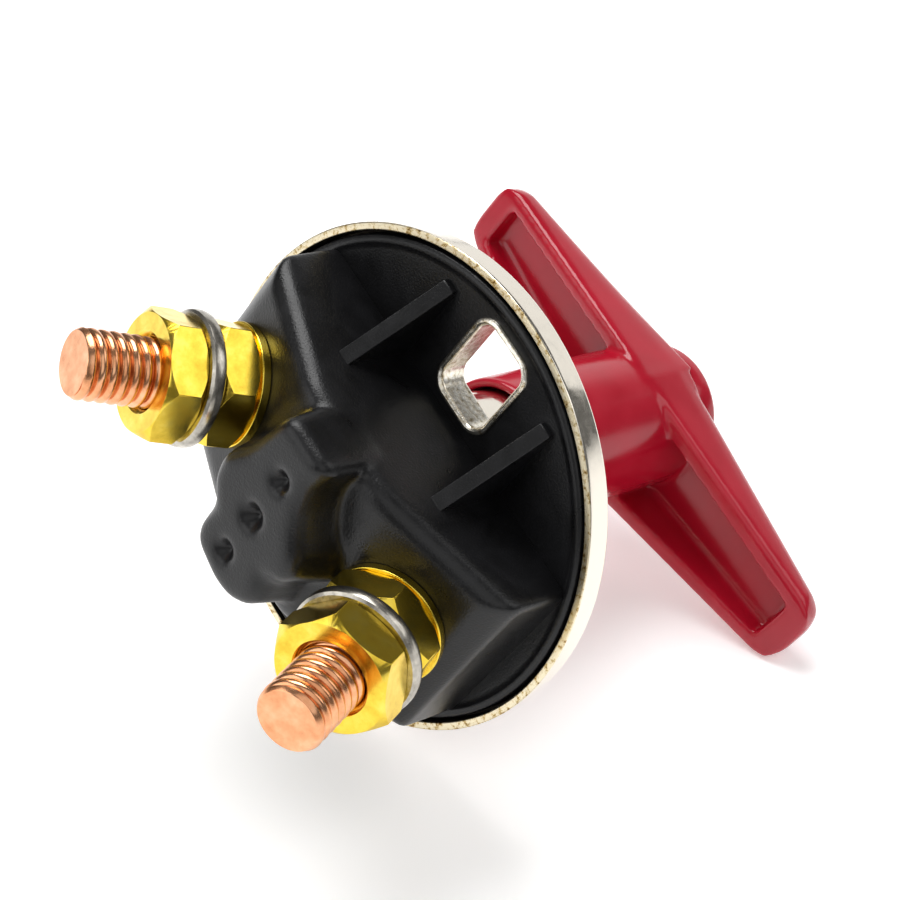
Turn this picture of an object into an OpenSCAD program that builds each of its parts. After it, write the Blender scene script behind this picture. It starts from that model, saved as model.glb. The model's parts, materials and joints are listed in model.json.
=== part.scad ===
// Battery master switch for panel mounting: a round plated face plate, a T-handle
// in front of the panel, and a moulded housing with two threaded studs behind it.
//
// Frame: the origin is the centre of the face plate's rear rim. -Y points out of the
// front of the panel, towards the handle. X runs from stud to stud, and +Z through
// the upper mounting hole. Each piece is drawn on the switch's own axes (x along the
// mounting holes, y along the studs, z out of the front) and then turned into it.

/* [Face plate] */
// Diameter of the plated face plate
plate_d = 69.85; // [66:0.05:84]
// Depth of the face plate, from its rear rim to its front face
plate_depth = 4.6; // [4.2:0.1:6]
// Thickness of the front wall of the face plate
plate_wall = 1.6; // [1.2:0.1:2.4]
// Thickness of the rim that runs round the rear housing
rim_wall = 1.125; // [0.8:0.005:2]
// Length of the neck that guides the spindle, in front of the plate
neck_length = 19; // [15:0.5:24]
// Radius of the neck where it meets the plate
neck_base_r = 10.4; // [9:0.1:13]
// Radius of the neck at its free end
neck_tip_r = 8.8; // [7.8:0.1:9.1]

/* [Mounting holes] */
// Distance from one mounting hole to the other, centre to centre
hole_spacing = 46.4; // [45:0.1:54]
// Length of each mounting hole, along the line through both holes
hole_length = 12.6; // [10:0.1:13]
// Width of each mounting hole
hole_width = 9.4; // [6:0.1:12]
// Corner radius of each mounting hole
hole_corner = 2.2; // [1:0.1:3]
// Wall of the tube that lines each mounting hole
tube_wall = 0.7; // [0.5:0.05:1]
// How far the staked lip of that tube reaches over the housing
lip_reach = 0.3; // [0.1:0.05:0.6]

/* [Rear housing] */
// Thickness of the round flange of the housing
flange_thick = 2.1; // [1.6:0.1:2.2]
// Width of the contact block behind the flange, at its roof
block_width = 29; // [27:0.5:30]
// Length of the roof of the contact block, from eave to eave
block_length = 57; // [54:0.5:58]
// Wall of the contact block
block_wall = 2.6; // [2:0.1:3.2]
// Thickness of the sloping seat that each stud goes through
seat_wall = 3; // [2.4:0.1:4]
// Depth of the seats at the studs, behind the rear rim of the plate
seat_depth = 14.8; // [14:0.1:20]
// Depth of the rear boss, behind the rear rim of the plate
boss_depth = 25.5; // [24:0.1:34]
// Thickness of the end wall of the rear boss
boss_wall = 2.5; // [1.6:0.1:3.5]
// Distance between the two stiffening ribs beside a mounting hole
rib_spacing = 23.3; // [22:0.1:26]
// Thickness of each stiffening rib
rib_thick = 2.3; // [1.2:0.1:3]

/* [Studs] */
// Distance between the studs where they leave their seats
stud_spacing = 38.2; // [37:0.1:41]
// Outward lean of each stud
stud_lean = 19.7; // [12:0.1:24]
// Thread diameter of the studs (3/8 inch)
stud_d = 9.525; // [8:0.005:10]
// Length of each stud behind its seat
stud_length = 24.2; // [22:0.1:34]
// Diameter of the contact head inside the housing
head_d = 15; // [13:0.1:17]
// Thickness of the contact head
head_thick = 3; // [2:0.1:4]

/* [Nuts and washers] */
// Width across flats of the nuts (5/8 inch)
nut_af = 15.875; // [14:0.005:17]
// Thickness of each nut
nut_thick = 5.45; // [4:0.05:6]
// Outer diameter of the brass seat washer
seat_washer_d = 17; // [15:0.1:18]
// Thickness of the brass seat washer
seat_washer_thick = 1.3; // [0.8:0.05:2]
// Outer diameter of the split lock washer
lock_washer_d = 18.4; // [16:0.1:19]
// Thickness of the split lock washer
lock_washer_thick = 2.2; // [1.6:0.05:2.6]

/* [Handle] */
// Length of the T-handle from tip to tip
handle_length = 84; // [76:0.5:110]
// Distance from the plate's rear rim to the top of the wings
handle_height = 57; // [55:0.5:66]
// Width of each wing at the hub
wing_root_w = 21.8; // [21.2:0.1:26]
// Width of each wing at its tip
wing_tip_w = 12.6; // [11:0.1:18]
// Depth of each wing at the hub
wing_root_t = 11.4; // [9:0.1:13]
// Depth of each wing at its tip
wing_tip_t = 5.2; // [4.6:0.1:8]
// Corner radius at the tips
tip_corner = 4; // [2:0.1:5]
// Width of the flange round the hollow under each wing
wing_rim = 2.6; // [2:0.1:3.5]
// Radius of the hub
hub_r = 10.8; // [10.5:0.1:12]
// Height of the round crown above the wings
crown_height = 3.2; // [2:0.1:5]

/* [Mechanism] */
// Spindle diameter
spindle_d = 9.5; // [9:0.05:9.9]
// Side of the squares that drive the handle and the cam
drive_square = 6.6; // [5.6:0.1:6.3]
// Travel of the contact bar from on to off
contact_travel = 2.5; // [1.5:0.1:2.6]
// Width of the copper contact bar
bar_width = 13; // [10:0.1:14]
// Thickness of the copper contact bar
bar_thick = 2.4; // [1.6:0.1:2.6]

/* [Hidden] */

$fn = 64;
eps = 0.02;          // overshoot of a cut past the face it opens
running = 0.05;      // radial clearance of a shaft in its hole
slip = 0.1;          // clearance of pieces that drop into one another

// Face plate and what it closes over
plate_r = plate_d / 2;
plate_inner_r = plate_r - rim_wall;
plate_taper = 0.35;                       // how much smaller the plate is at its front edge
front_wall_z = plate_depth - plate_wall;  // rear face of the front wall
gasket_thick = 0.6;
flange_front_z = front_wall_z - gasket_thick;
flange_rear_z = flange_front_z - flange_thick;
flange_r = plate_inner_r - 0.5;
neck_top_z = plate_depth + neck_length;
tube_length = hole_length + 2 * tube_wall;
tube_width = hole_width + 2 * tube_wall;
tube_corner = hole_corner + tube_wall;
lip_height = 0.5;

// Contact block: a roof whose two slopes carry the studs
lean_slope = tan(stud_lean);
seat_y = stud_spacing / 2;
block_x = block_width / 2;
block_y = block_length / 2;
side_draft = 1;                           // how far each side leans out down to the flange
end_draft = 2.8;                          // how far each end leans out down to the flange
ridge_half = 8;                           // half-length of the flat ridge of the roof
ridge_z = -seat_depth - (seat_y - ridge_half) * lean_slope;
eave_z = -seat_depth + (block_y - seat_y) * lean_slope;
cavity_x = block_x - block_wall;
cavity_y = block_y - block_wall;
inner_drop = seat_wall / cos(stud_lean);  // how far the inner roof lies below the outer one
boss_half = 12.4;                         // half-length of the boss, across the studs
boss_side = 4.8;                          // half-width of the boss at its ends
boss_bulge = 9.4;                         // half-width of the boss at its middle
block_margin = 0.9;                       // how far the block stays inside the flange's edge
boss_pocket_r = 5.4;
boss_floor_z = -boss_depth + boss_wall;
dimple_spacing = 7.8;
rib_root_x = block_x + 0.1;               // where each rib's slope starts, at the block
rib_end_x = rib_root_x + 13;
rib_root_z = -11;

// Stack on each stud, measured outwards from the seat
seal_thick = 0.6;
head_top = -seat_wall - seal_thick;
head_face = head_top - head_thick;        // contact face of the stud
stud_r = stud_d / 2;
stud_chamfer = 0.8;
thread_ease = 0.2;                        // how much slimmer the stud is under its nuts
s_nut1 = seat_washer_thick;
s_lock = s_nut1 + nut_thick;
s_nut2 = s_lock + lock_washer_thick;
s_free = s_nut2 + nut_thick + 0.1;        // start of the free end of the thread
nut_chamfer = 0.9;
seat_nut_turn = [12, 7];                  // how the nuts happen to stand: right, left
terminal_nut_turn = [5, 32];
washer_play = 0.12;

// Contact bar: parallel to the faces of the stud heads
bar_gap = 0.05;
bar_skew = bar_thick / cos(stud_lean);
head_face_z = -seat_depth - seat_y * lean_slope - head_face / cos(stud_lean);
bar_flat = 6;                             // half-length of the flat middle of the bar
bar_end = 22.4;
bar_rear_z = head_face_z + bar_flat * lean_slope + bar_gap;
bar_front_z = bar_rear_z + bar_skew;
bar_rise = (bar_end - bar_flat) * lean_slope;

// Cam and carrier
collar_thick = 2;
washer_thick = gasket_thick;
collar_rear_z = front_wall_z - washer_thick - collar_thick;
cam_base = 2;
cam_r = 9;
cam_track_r = 5.4;
cam_steps = 16;                           // steps of the ramp in a quarter of a turn
cam_peak_z = collar_rear_z - cam_base - 0.5 - contact_travel;
carrier_front_z = cam_peak_z - contact_travel - 0.2;
nose_gap = 0.2;                           // more than one step of the ramp
nose_half = 1;
nose_angle = 10;                          // half of the angle that a nose covers
cam_dwell = 12;                           // level part past each end of the ramp
carrier_x = 9.4;
carrier_y = 9.6;
pilot_r = 2.9;
pilot_end_z = bar_rear_z - 0.6;
rivet_r = 1.2;
rivet_x = 4.7;

// Spindle, handle and what holds them together
spindle_r = spindle_d / 2;
collar_r = 8.5;
ring_section = 0.9;                       // section of an O-ring
ring_zs = [plate_depth + 5, plate_depth + 10];
clip_thick = 0.9;
clip_groove_r = spindle_r - 0.75;
keeper_thick = 0.6;
clip_z = neck_top_z + keeper_thick;
skirt_z = neck_top_z - 3.6;               // lower edge of the handle's skirt
skirt_bore_r = neck_tip_r + 0.65;
skirt_top_z = clip_z + clip_thick + 1;
spindle_end_z = handle_height - 7.5;
socket_top_z = spindle_end_z + 0.4;
socket_wall = 3;
screw_seat_z = socket_top_z + socket_wall;
screw_r = 2;
screw_head_r = 4.2;
screw_head_h = 3;
screw_washer_thick = 0.8;
screw_depth = 14;
well_r = 5.6;
cap_thick = 2.2;
crown_z = handle_height + crown_height;
crown_r = hub_r - 0.6;
wing_half = handle_length / 2;
wing_skin = 2.4;
pocket_start = hub_r + 1.2;
pocket_end = wing_half - 1.6 * wing_rim;

// Return spring in the boss
spring_r = 3.9;
spring_wire = 1;
spring_turns = 5;
spring_seat_thick = 0.6;
spring_seat_z = boss_floor_z + spring_seat_thick;

// ---- helpers -------------------------------------------------------------------

// Turns a piece from the switch's own axes into the frame of the part.
module installed() {
    rotate([0, -90, 90]) children();
}

// Puts children on the stud at one side: side 1 is towards +y, -1 towards -y.
module on_stud(side) {
    translate([0, side * seat_y, -seat_depth])
        rotate([180 + side * stud_lean, 0, 0]) children();
}

// Rectangle with round corners, centred.
module round_rect(length, width, corner) {
    square([length - 2 * corner, width], center = true);
    square([length, width - 2 * corner], center = true);
    for (sx = [-1, 1], sy = [-1, 1])
        translate([sx * (length / 2 - corner), sy * (width / 2 - corner)]) circle(corner);
}

// Straight tube or washer from z = 0 upwards.
module ring(outer_r, inner_r, height) {
    difference() {
        cylinder(r = outer_r, h = height);
        translate([0, 0, -eps]) cylinder(r = inner_r, h = height + 2 * eps);
    }
}

// Extrudes an outline drawn in the y-z plane across x, centred.
module across_x(width) {
    rotate([90, 0, 90]) translate([0, 0, -width / 2]) linear_extrude(width) children();
}

// Sets children at both mounting holes.
module at_holes() {
    for (side = [-1, 1]) translate([side * hole_spacing / 2, 0, 0]) children();
}

// Hexagon nut with both faces chamfered, standing on z = 0.
module hex_nut(af, thick, bore_r) {
    corner_r = af / sqrt(3);
    difference() {
        intersection() {
            cylinder(r = corner_r, h = thick, $fn = 6);
            rotate_extrude() polygon([
                [0, 0], [corner_r - nut_chamfer, 0], [corner_r, nut_chamfer / 2],
                [corner_r, thick - nut_chamfer / 2], [corner_r - nut_chamfer, thick],
                [0, thick]]);
        }
        translate([0, 0, -eps]) cylinder(r = bore_r, h = thick + 2 * eps);
    }
}

// ---- fixed body ----------------------------------------------------------------

module face_plate() installed() color("gainsboro") {
    difference() {
        union() {
            rotate_extrude() polygon([
                [0, front_wall_z], [plate_inner_r, front_wall_z], [plate_inner_r, 0],
                [plate_r, 0], [plate_r - plate_taper, plate_depth - 0.5],
                [plate_r - plate_taper - 0.8, plate_depth],
                [neck_base_r, plate_depth], [neck_tip_r, neck_top_z], [0, neck_top_z]]);
            at_holes() translate([0, 0, flange_rear_z])
                linear_extrude(front_wall_z - flange_rear_z + eps)
                    round_rect(tube_length, tube_width, tube_corner);
            at_holes() translate([0, 0, flange_rear_z - lip_height]) linear_extrude(lip_height)
                round_rect(tube_length + 2 * lip_reach, tube_width + 2 * lip_reach,
                           tube_corner + lip_reach);
        }
        at_holes() translate([0, 0, flange_rear_z - lip_height - eps])
            linear_extrude(plate_depth + lip_height + 2)
                round_rect(hole_length, hole_width, hole_corner);
        cylinder(r = spindle_r + running, h = neck_top_z + 1);
    }
}

module plate_gasket() installed() color("dimgray")
    translate([0, 0, flange_front_z]) linear_extrude(gasket_thick) difference() {
        circle(flange_r);
        square([2 * cavity_x, 2 * cavity_y], center = true);
        at_holes() round_rect(tube_length + 2 * slip, tube_width + 2 * slip,
                              tube_corner + slip);
    }

// Outline of the block in the y-z plane, from z = top_z down to its roof.
// inset draws in the ends, and drop lowers the roof, for the inside.
module roof(inset, drop, draft, top_z) {
    end_y = block_y - inset;
    end_z = eave_z - inset * lean_slope + drop;
    polygon([[-end_y - draft, top_z], [-end_y, end_z], [-ridge_half, ridge_z + drop],
             [ridge_half, ridge_z + drop], [end_y, end_z], [end_y + draft, top_z]]);
}

// Outline of the rear boss: long across the studs, with a bulge at its middle.
module boss_outline() {
    polygon([
        for (s = [1, -1])
            for (p = [[boss_half, -3], [boss_half, 3], [boss_half - 1.8, boss_side],
                      [boss_half - 6, boss_side], [2, boss_bulge], [-2, boss_bulge],
                      [6 - boss_half, boss_side], [1.8 - boss_half, boss_side]])
                s * p]);
}

module rear_housing() installed() color([0.1, 0.1, 0.1]) {
    difference() {
        union() {
            translate([0, 0, flange_rear_z]) cylinder(r = flange_r, h = flange_thick);
            intersection() {
                across_x(2 * block_x + 4) roof(0, 0, end_draft, flange_rear_z + eps);
                rotate([90, 0, 0]) translate([0, 0, -plate_r]) linear_extrude(plate_d) polygon([
                    [-block_x - side_draft, flange_rear_z + eps], [-block_x, ridge_z - 1],
                    [block_x, ridge_z - 1], [block_x + side_draft, flange_rear_z + eps]]);
                translate([0, 0, -boss_depth]) cylinder(r = flange_r - block_margin, h = boss_depth + 1);
            }
            translate([0, 0, -boss_depth]) linear_extrude(boss_depth + ridge_z + inner_drop)
                boss_outline();
            for (sx = [-1, 1], sy = [-1, 1])
                translate([0, sy * rib_spacing / 2 + rib_thick / 2, 0])
                    rotate([90, 0, 0]) linear_extrude(rib_thick) polygon([
                        [sx * (rib_root_x - 1), flange_rear_z + 1],
                        [sx * (rib_root_x - 1), rib_root_z],
                        [sx * rib_root_x, rib_root_z],
                        [sx * rib_end_x, flange_rear_z],
                        [sx * rib_end_x, flange_rear_z + 1]]);
        }
        across_x(2 * cavity_x) roof(block_wall, inner_drop, 0, flange_front_z + 1);
        translate([0, 0, boss_floor_z]) cylinder(r = boss_pocket_r, h = boss_depth);
        at_holes() translate([0, 0, flange_rear_z - 1]) linear_extrude(flange_thick + 2)
            round_rect(tube_length + 2 * slip, tube_width + 2 * slip, tube_corner + slip);
        for (side = [-1, 1])
            on_stud(side) translate([0, 0, -seat_wall - 2])
                cylinder(r = stud_r + slip, h = seat_wall + 4);
        for (i = [-1, 0, 1])
            translate([i * dimple_spacing, 0, -boss_depth - eps])
                cylinder(r1 = i == 0 ? 2.2 : 1.8, r2 = 0.3, h = i == 0 ? 1.8 : 1.5);
    }
}

module spring_seat() installed() color("silver")
    translate([0, 0, boss_floor_z]) ring(boss_pocket_r - slip, 2, spring_seat_thick);

// Points of one ring of the spring's wire, at a given share of its length.
function spring_ring(share) =
    let (height = -bar_gap + bar_rear_z - spring_seat_z - spring_wire,
         angle = 360 * spring_turns * share,
         z0 = spring_seat_z + spring_wire / 2 + height * share)
    [for (k = [0:7])
        let (r = spring_r + spring_wire / 2 * cos(45 * k))
        [r * cos(angle), r * sin(angle), z0 + spring_wire / 2 * sin(45 * k)]];

module return_spring() installed() color("silver") {
    rings = spring_turns * 20;
    polyhedron(
        points = [for (i = [0:rings]) each spring_ring(i / rings)],
        faces = concat(
            [[for (k = [0:7]) k]],
            [for (i = [0:rings - 1], k = [0:7])
                [i * 8 + k, (i + 1) * 8 + k, (i + 1) * 8 + (k + 1) % 8, i * 8 + (k + 1) % 8]],
            [[for (k = [7:-1:0]) rings * 8 + k]]));
}

// ---- terminals -----------------------------------------------------------------

module terminal_stud(side) installed() color([0.85, 0.5, 0.35]) on_stud(side) {
    translate([0, 0, head_face]) cylinder(d = head_d, h = head_thick);
    translate([0, 0, head_top - eps])
        cylinder(r = stud_r - thread_ease, h = s_free - head_top + 2 * eps);
    translate([0, 0, s_free]) cylinder(r = stud_r, h = stud_length - stud_chamfer - s_free);
    translate([0, 0, stud_length - stud_chamfer])
        cylinder(r1 = stud_r, r2 = stud_r - stud_chamfer, h = stud_chamfer);
}

module stud_seal(side) installed() color([0.15, 0.15, 0.15]) on_stud(side)
    translate([0, 0, head_top]) ring(head_d / 2 - 1, stud_r + slip, seal_thick);

module seat_washer(side) installed() color("goldenrod") on_stud(side)
    ring(seat_washer_d / 2, stud_r + washer_play, seat_washer_thick);

module seat_nut(side) installed() color("gold") on_stud(side)
    translate([0, 0, s_nut1]) rotate([0, 0, seat_nut_turn[side > 0 ? 1 : 0]])
        hex_nut(nut_af, nut_thick, stud_r + running);

module lock_washer(side) installed() color("gray") on_stud(side)
    translate([0, 0, s_lock]) difference() {
        ring(lock_washer_d / 2, stud_r + washer_play, lock_washer_thick);
        rotate([0, 0, 160]) translate([lock_washer_d / 2, 0, lock_washer_thick / 2])
            rotate([30, 0, 0]) cube([lock_washer_d, 0.6, 4 * lock_washer_thick], center = true);
    }

module terminal_nut(side) installed() color("gold") on_stud(side)
    translate([0, 0, s_nut2]) rotate([0, 0, terminal_nut_turn[side > 0 ? 1 : 0]])
        hex_nut(nut_af, nut_thick, stud_r + running);

module left_terminal_stud() terminal_stud(1);
module left_stud_seal() stud_seal(1);
module left_seat_washer() seat_washer(1);
module left_seat_nut() seat_nut(1);
module left_lock_washer() lock_washer(1);
module left_terminal_nut() terminal_nut(1);
module right_terminal_stud() terminal_stud(-1);
module right_stud_seal() stud_seal(-1);
module right_seat_washer() seat_washer(-1);
module right_seat_nut() seat_nut(-1);
module right_lock_washer() lock_washer(-1);
module right_terminal_nut() terminal_nut(-1);

// ---- spindle and cam, which turn with the handle ---------------------------------

module spindle() installed() color("silver") difference() {
    union() {
        translate([0, 0, pilot_end_z]) cylinder(r = pilot_r, h = cam_peak_z - pilot_end_z + eps);
        translate([-drive_square / 2, -drive_square / 2, cam_peak_z])
            cube([drive_square, drive_square, collar_rear_z - cam_peak_z + eps]);
        translate([0, 0, collar_rear_z]) cylinder(r = collar_r, h = collar_thick);
        translate([0, 0, collar_rear_z])
            cylinder(r = spindle_r, h = clip_z + clip_thick + 0.6 - collar_rear_z);
        translate([-drive_square / 2, -drive_square / 2, clip_z])
            cube([drive_square, drive_square, spindle_end_z - clip_z]);
    }
    for (z = ring_zs) translate([0, 0, z])
        ring(spindle_r + 1, spindle_r - ring_section, 1.6 * ring_section);
    translate([0, 0, clip_z]) ring(spindle_r + 1, clip_groove_r, clip_thick + slip);
    translate([0, 0, spindle_end_z - screw_depth])
        cylinder(r = screw_r + running, h = screw_depth + 1);
}

module spindle_o_rings() installed() color([0.12, 0.12, 0.12])
    for (z = ring_zs) translate([0, 0, z + 0.8 * ring_section])
        rotate_extrude() translate([spindle_r - ring_section / 2, 0])
            circle(d = ring_section - eps);

module thrust_washer() installed() color("ivory")
    translate([0, 0, front_wall_z - washer_thick])
        ring(collar_r + 0.5, spindle_r + slip, washer_thick);

module retaining_washer() installed() color("silver")
    translate([0, 0, neck_top_z]) ring(neck_tip_r - 1, spindle_r + slip, keeper_thick);

module retaining_clip() installed() color("darkgray")
    translate([0, 0, clip_z]) linear_extrude(clip_thick) difference() {
        circle(neck_tip_r - 1.6);
        circle(clip_groove_r + running);
        translate([0, -clip_groove_r * 0.8]) square([20, clip_groove_r * 1.6]);
    }

// Sector of a ring, from angle a0 to a1.
module sector(outer_r, inner_r, a0, a1, height) {
    linear_extrude(height) difference() {
        intersection() {
            circle(outer_r);
            polygon([[0, 0], for (a = [a0, (a0 + a1) / 2, a1]) 2 * outer_r * [cos(a), sin(a)]]);
        }
        circle(inner_r);
    }
}

module drive_cam() installed() color("whitesmoke") difference() {
    union() {
        translate([0, 0, collar_rear_z - cam_base]) cylinder(r = cam_r, h = cam_base);
        // One ramp for each nose: it falls away as the handle turns from on to off.
        for (half = [0, 180], i = [0:cam_steps]) {
            step = 90 / cam_steps;
            top = half + 90 + nose_angle - i * step;
            level_z = cam_peak_z + i * contact_travel / cam_steps;
            translate([0, 0, level_z])
                sector(cam_r, cam_track_r, top - step - (i == cam_steps ? cam_dwell : 0),
                       top + (i == 0 ? cam_dwell : 0), collar_rear_z - cam_base - level_z + eps);
        }
    }
    translate([0, 0, cam_peak_z - 1]) linear_extrude(20)
        square(drive_square + 2 * slip, center = true);
}

// ---- contact bar and carrier, which slide towards and away from the studs --------

module contact_carrier() installed() color("linen") difference() {
    union() {
        across_x(2 * carrier_x) polygon([
            [-bar_flat, bar_front_z + eps],
            [bar_flat, bar_front_z + eps],
            [carrier_y, bar_front_z + eps + (carrier_y - bar_flat) * lean_slope],
            [carrier_y, carrier_front_z], [-carrier_y, carrier_front_z],
            [-carrier_y, bar_front_z + eps + (carrier_y - bar_flat) * lean_slope]]);
        for (side = [-1, 1])
            translate([-nose_half, side * (cam_track_r + cam_r) / 2 - 1.4, carrier_front_z - eps])
                cube([2 * nose_half, 2.8, cam_peak_z - nose_gap - carrier_front_z + eps]);
    }
    translate([0, 0, bar_rear_z]) cylinder(r = pilot_r + slip, h = -bar_rear_z);
    rivet_holes();
}

// Holes for the two rivets that hold the bar on its carrier.
module rivet_holes() {
    for (side = [-1, 1])
        translate([side * rivet_x, 0, bar_rear_z - 1])
            cylinder(r = rivet_r + running, h = carrier_front_z - bar_rear_z + 2);
}

module contact_bar() installed() color([0.8, 0.45, 0.3]) difference() {
    across_x(bar_width) polygon([
        [-bar_end, bar_rear_z + bar_rise], [-bar_flat, bar_rear_z],
        [bar_flat, bar_rear_z], [bar_end, bar_rear_z + bar_rise],
        [bar_end, bar_front_z + bar_rise], [bar_flat, bar_front_z],
        [-bar_flat, bar_front_z], [-bar_end, bar_front_z + bar_rise]]);
    translate([0, 0, bar_rear_z - 1]) cylinder(r = pilot_r + slip, h = bar_skew + 2);
    rivet_holes();
}

module contact_rivets() installed() color("goldenrod")
    for (side = [-1, 1])
        translate([side * rivet_x, 0, bar_rear_z])
            cylinder(r = rivet_r, h = carrier_front_z - bar_rear_z);

// ---- handle ----------------------------------------------------------------------

// Outline of a wing from above, from the spindle axis towards +y; inset narrows it.
module wing_outline(start, finish, inset, corner) {
    function half_w(y) = wing_root_w / 2 + (wing_tip_w - wing_root_w) / 2 * y / wing_half - inset;
    square_y = finish - corner;
    end_w = half_w(square_y);
    polygon([[-half_w(start), start], [half_w(start), start],
             [end_w, square_y], [-end_w, square_y]]);
    translate([-end_w + corner, square_y - eps]) square([2 * (end_w - corner), corner + eps]);
    for (sx = [-1, 1]) translate([sx * (end_w - corner), square_y]) circle(corner);
}

module handle() installed() color([0.75, 0.1, 0.15]) difference() {
    union() {
        translate([0, 0, skirt_z]) cylinder(r = hub_r, h = handle_height - skirt_z);
        translate([0, 0, handle_height - eps]) cylinder(r = crown_r, h = crown_height - 0.8 + eps);
        translate([0, 0, crown_z - 0.8]) cylinder(r1 = crown_r, r2 = crown_r - 0.8, h = 0.8);
        for (turn = [0, 180]) rotate([0, 0, turn]) intersection() {
            linear_extrude(handle_height) wing_outline(0, wing_half, 0, tip_corner);
            across_x(2 * wing_root_w) polygon([
                [0, handle_height], [0, handle_height - wing_root_t],
                [wing_half + 1, handle_height - wing_tip_t], [wing_half + 1, handle_height]]);
        }
    }
    for (turn = [0, 180]) rotate([0, 0, turn])
        translate([0, 0, handle_height - wing_root_t - 1])
            linear_extrude(wing_root_t + 1 - wing_skin)
                wing_outline(pocket_start, pocket_end, wing_rim, 1.5);
    translate([0, 0, skirt_z - 1]) cylinder(r = skirt_bore_r, h = skirt_top_z - skirt_z + 1);
    translate([0, 0, skirt_z]) linear_extrude(socket_top_z - skirt_z)
        square(drive_square + 2 * slip, center = true);
    cylinder(r = screw_r + slip, h = crown_z);
    translate([0, 0, screw_seat_z]) cylinder(r = well_r, h = crown_z);
}

module handle_screw() installed() color("silver") difference() {
    union() {
        translate([0, 0, spindle_end_z - screw_depth + 1])
            cylinder(r = screw_r, h = screw_seat_z + screw_washer_thick - spindle_end_z
                     + screw_depth - 1 + eps);
        translate([0, 0, screw_seat_z + screw_washer_thick])
            cylinder(r = screw_head_r, h = screw_head_h);
    }
    translate([0, 0, screw_seat_z + screw_washer_thick + screw_head_h - 1.6])
        cylinder(r = 1.8, h = 2, $fn = 6);
}

module handle_screw_washer() installed() color("silver")
    translate([0, 0, screw_seat_z]) ring(well_r - 0.4, screw_r + slip, screw_washer_thick);

module handle_cap() installed() color([0.75, 0.1, 0.15])
    translate([0, 0, crown_z - cap_thick]) cylinder(r = well_r - slip, h = cap_thick);

// ---- pieces ----------------------------------------------------------------------

face_plate();
plate_gasket();
rear_housing();
spindle();
spindle_o_rings();
thrust_washer();
retaining_washer();
retaining_clip();
drive_cam();
contact_carrier();
contact_bar();
contact_rivets();
return_spring();
spring_seat();
left_terminal_stud();
left_stud_seal();
left_seat_washer();
left_seat_nut();
left_lock_washer();
left_terminal_nut();
right_terminal_stud();
right_stud_seal();
right_seat_washer();
right_seat_nut();
right_lock_washer();
right_terminal_nut();
handle();
handle_screw();
handle_screw_washer();
handle_cap();
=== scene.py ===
# Battery master switch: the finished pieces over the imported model, its floor, lights
# and camera.
#
# Pieces are shaped in millimetres on the switch's own axes: x along the mounting
# holes, y along the studs, z out of the front. placed() turns them into the frame of
# the model, in metres.
import json
import math

import bmesh
import bpy
from mathutils import Matrix, Vector

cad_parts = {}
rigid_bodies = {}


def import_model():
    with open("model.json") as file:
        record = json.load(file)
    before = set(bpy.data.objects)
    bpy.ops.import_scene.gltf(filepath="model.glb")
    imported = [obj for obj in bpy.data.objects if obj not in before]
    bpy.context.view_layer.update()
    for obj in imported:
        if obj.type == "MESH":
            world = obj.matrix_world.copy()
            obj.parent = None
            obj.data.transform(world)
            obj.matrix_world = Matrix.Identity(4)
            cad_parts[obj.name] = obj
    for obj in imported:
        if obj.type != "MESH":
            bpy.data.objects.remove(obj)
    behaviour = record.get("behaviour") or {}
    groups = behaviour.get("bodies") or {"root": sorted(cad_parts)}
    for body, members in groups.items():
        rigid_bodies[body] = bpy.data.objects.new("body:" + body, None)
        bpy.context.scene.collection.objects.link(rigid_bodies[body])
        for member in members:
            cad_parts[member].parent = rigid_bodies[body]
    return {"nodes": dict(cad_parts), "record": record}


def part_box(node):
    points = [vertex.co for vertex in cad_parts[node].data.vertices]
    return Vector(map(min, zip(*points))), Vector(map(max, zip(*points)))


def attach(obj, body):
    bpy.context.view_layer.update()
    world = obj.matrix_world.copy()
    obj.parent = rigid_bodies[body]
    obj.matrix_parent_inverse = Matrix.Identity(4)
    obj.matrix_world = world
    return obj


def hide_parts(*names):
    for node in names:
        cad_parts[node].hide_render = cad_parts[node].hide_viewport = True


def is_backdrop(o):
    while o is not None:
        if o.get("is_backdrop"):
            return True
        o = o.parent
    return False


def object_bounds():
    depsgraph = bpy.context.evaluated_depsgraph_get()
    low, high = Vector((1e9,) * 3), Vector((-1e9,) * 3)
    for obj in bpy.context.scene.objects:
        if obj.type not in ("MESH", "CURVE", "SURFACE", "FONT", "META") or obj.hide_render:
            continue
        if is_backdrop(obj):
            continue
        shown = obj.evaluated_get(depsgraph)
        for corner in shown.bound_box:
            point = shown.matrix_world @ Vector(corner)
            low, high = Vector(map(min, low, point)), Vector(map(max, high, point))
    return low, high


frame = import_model()
cad_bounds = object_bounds()

TO_FRAME = Matrix.Scale(0.001, 4) @ Matrix(
    ((0, -1, 0, 0), (0, 0, -1, 0), (1, 0, 0, 0), (0, 0, 0, 1)))


def box_mm(node):
    """Lowest and highest corner of a CAD node on the switch's own axes, in millimetres."""
    from_frame = TO_FRAME.inverted()
    corners = [from_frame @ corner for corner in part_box(node)]
    return [Vector(pick(c[i] for c in corners) for i in range(3)) for pick in (min, max)]


# ---- sizes, in millimetres ----------------------------------------------------------

PLATE_HIGH = box_mm("face_plate")[1]
PLATE_R = PLATE_HIGH.y
PLATE_FRONT = 4.6          # front face of the plate
FRONT_WALL = 3.0           # rear face of its front wall
RIM_INNER_R = 33.8         # inside of the rim
NECK_TOP = PLATE_HIGH.z
NECK_BASE_R = 10.4
NECK_TIP_R = 8.8
NECK_BORE_R = 4.8

HOLE_X = 23.2              # mounting holes, from the middle
HOLE_LENGTH = 12.6
HOLE_WIDTH = 9.4
HOLE_CORNER = 2.2
TUBE_WALL = 0.7
TUBE_SEAT = 0.45           # how far outside a hole's wall the plate is cut away for the tube
HOUSING_SEAT = 0.8         # and the housing's flange

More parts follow.
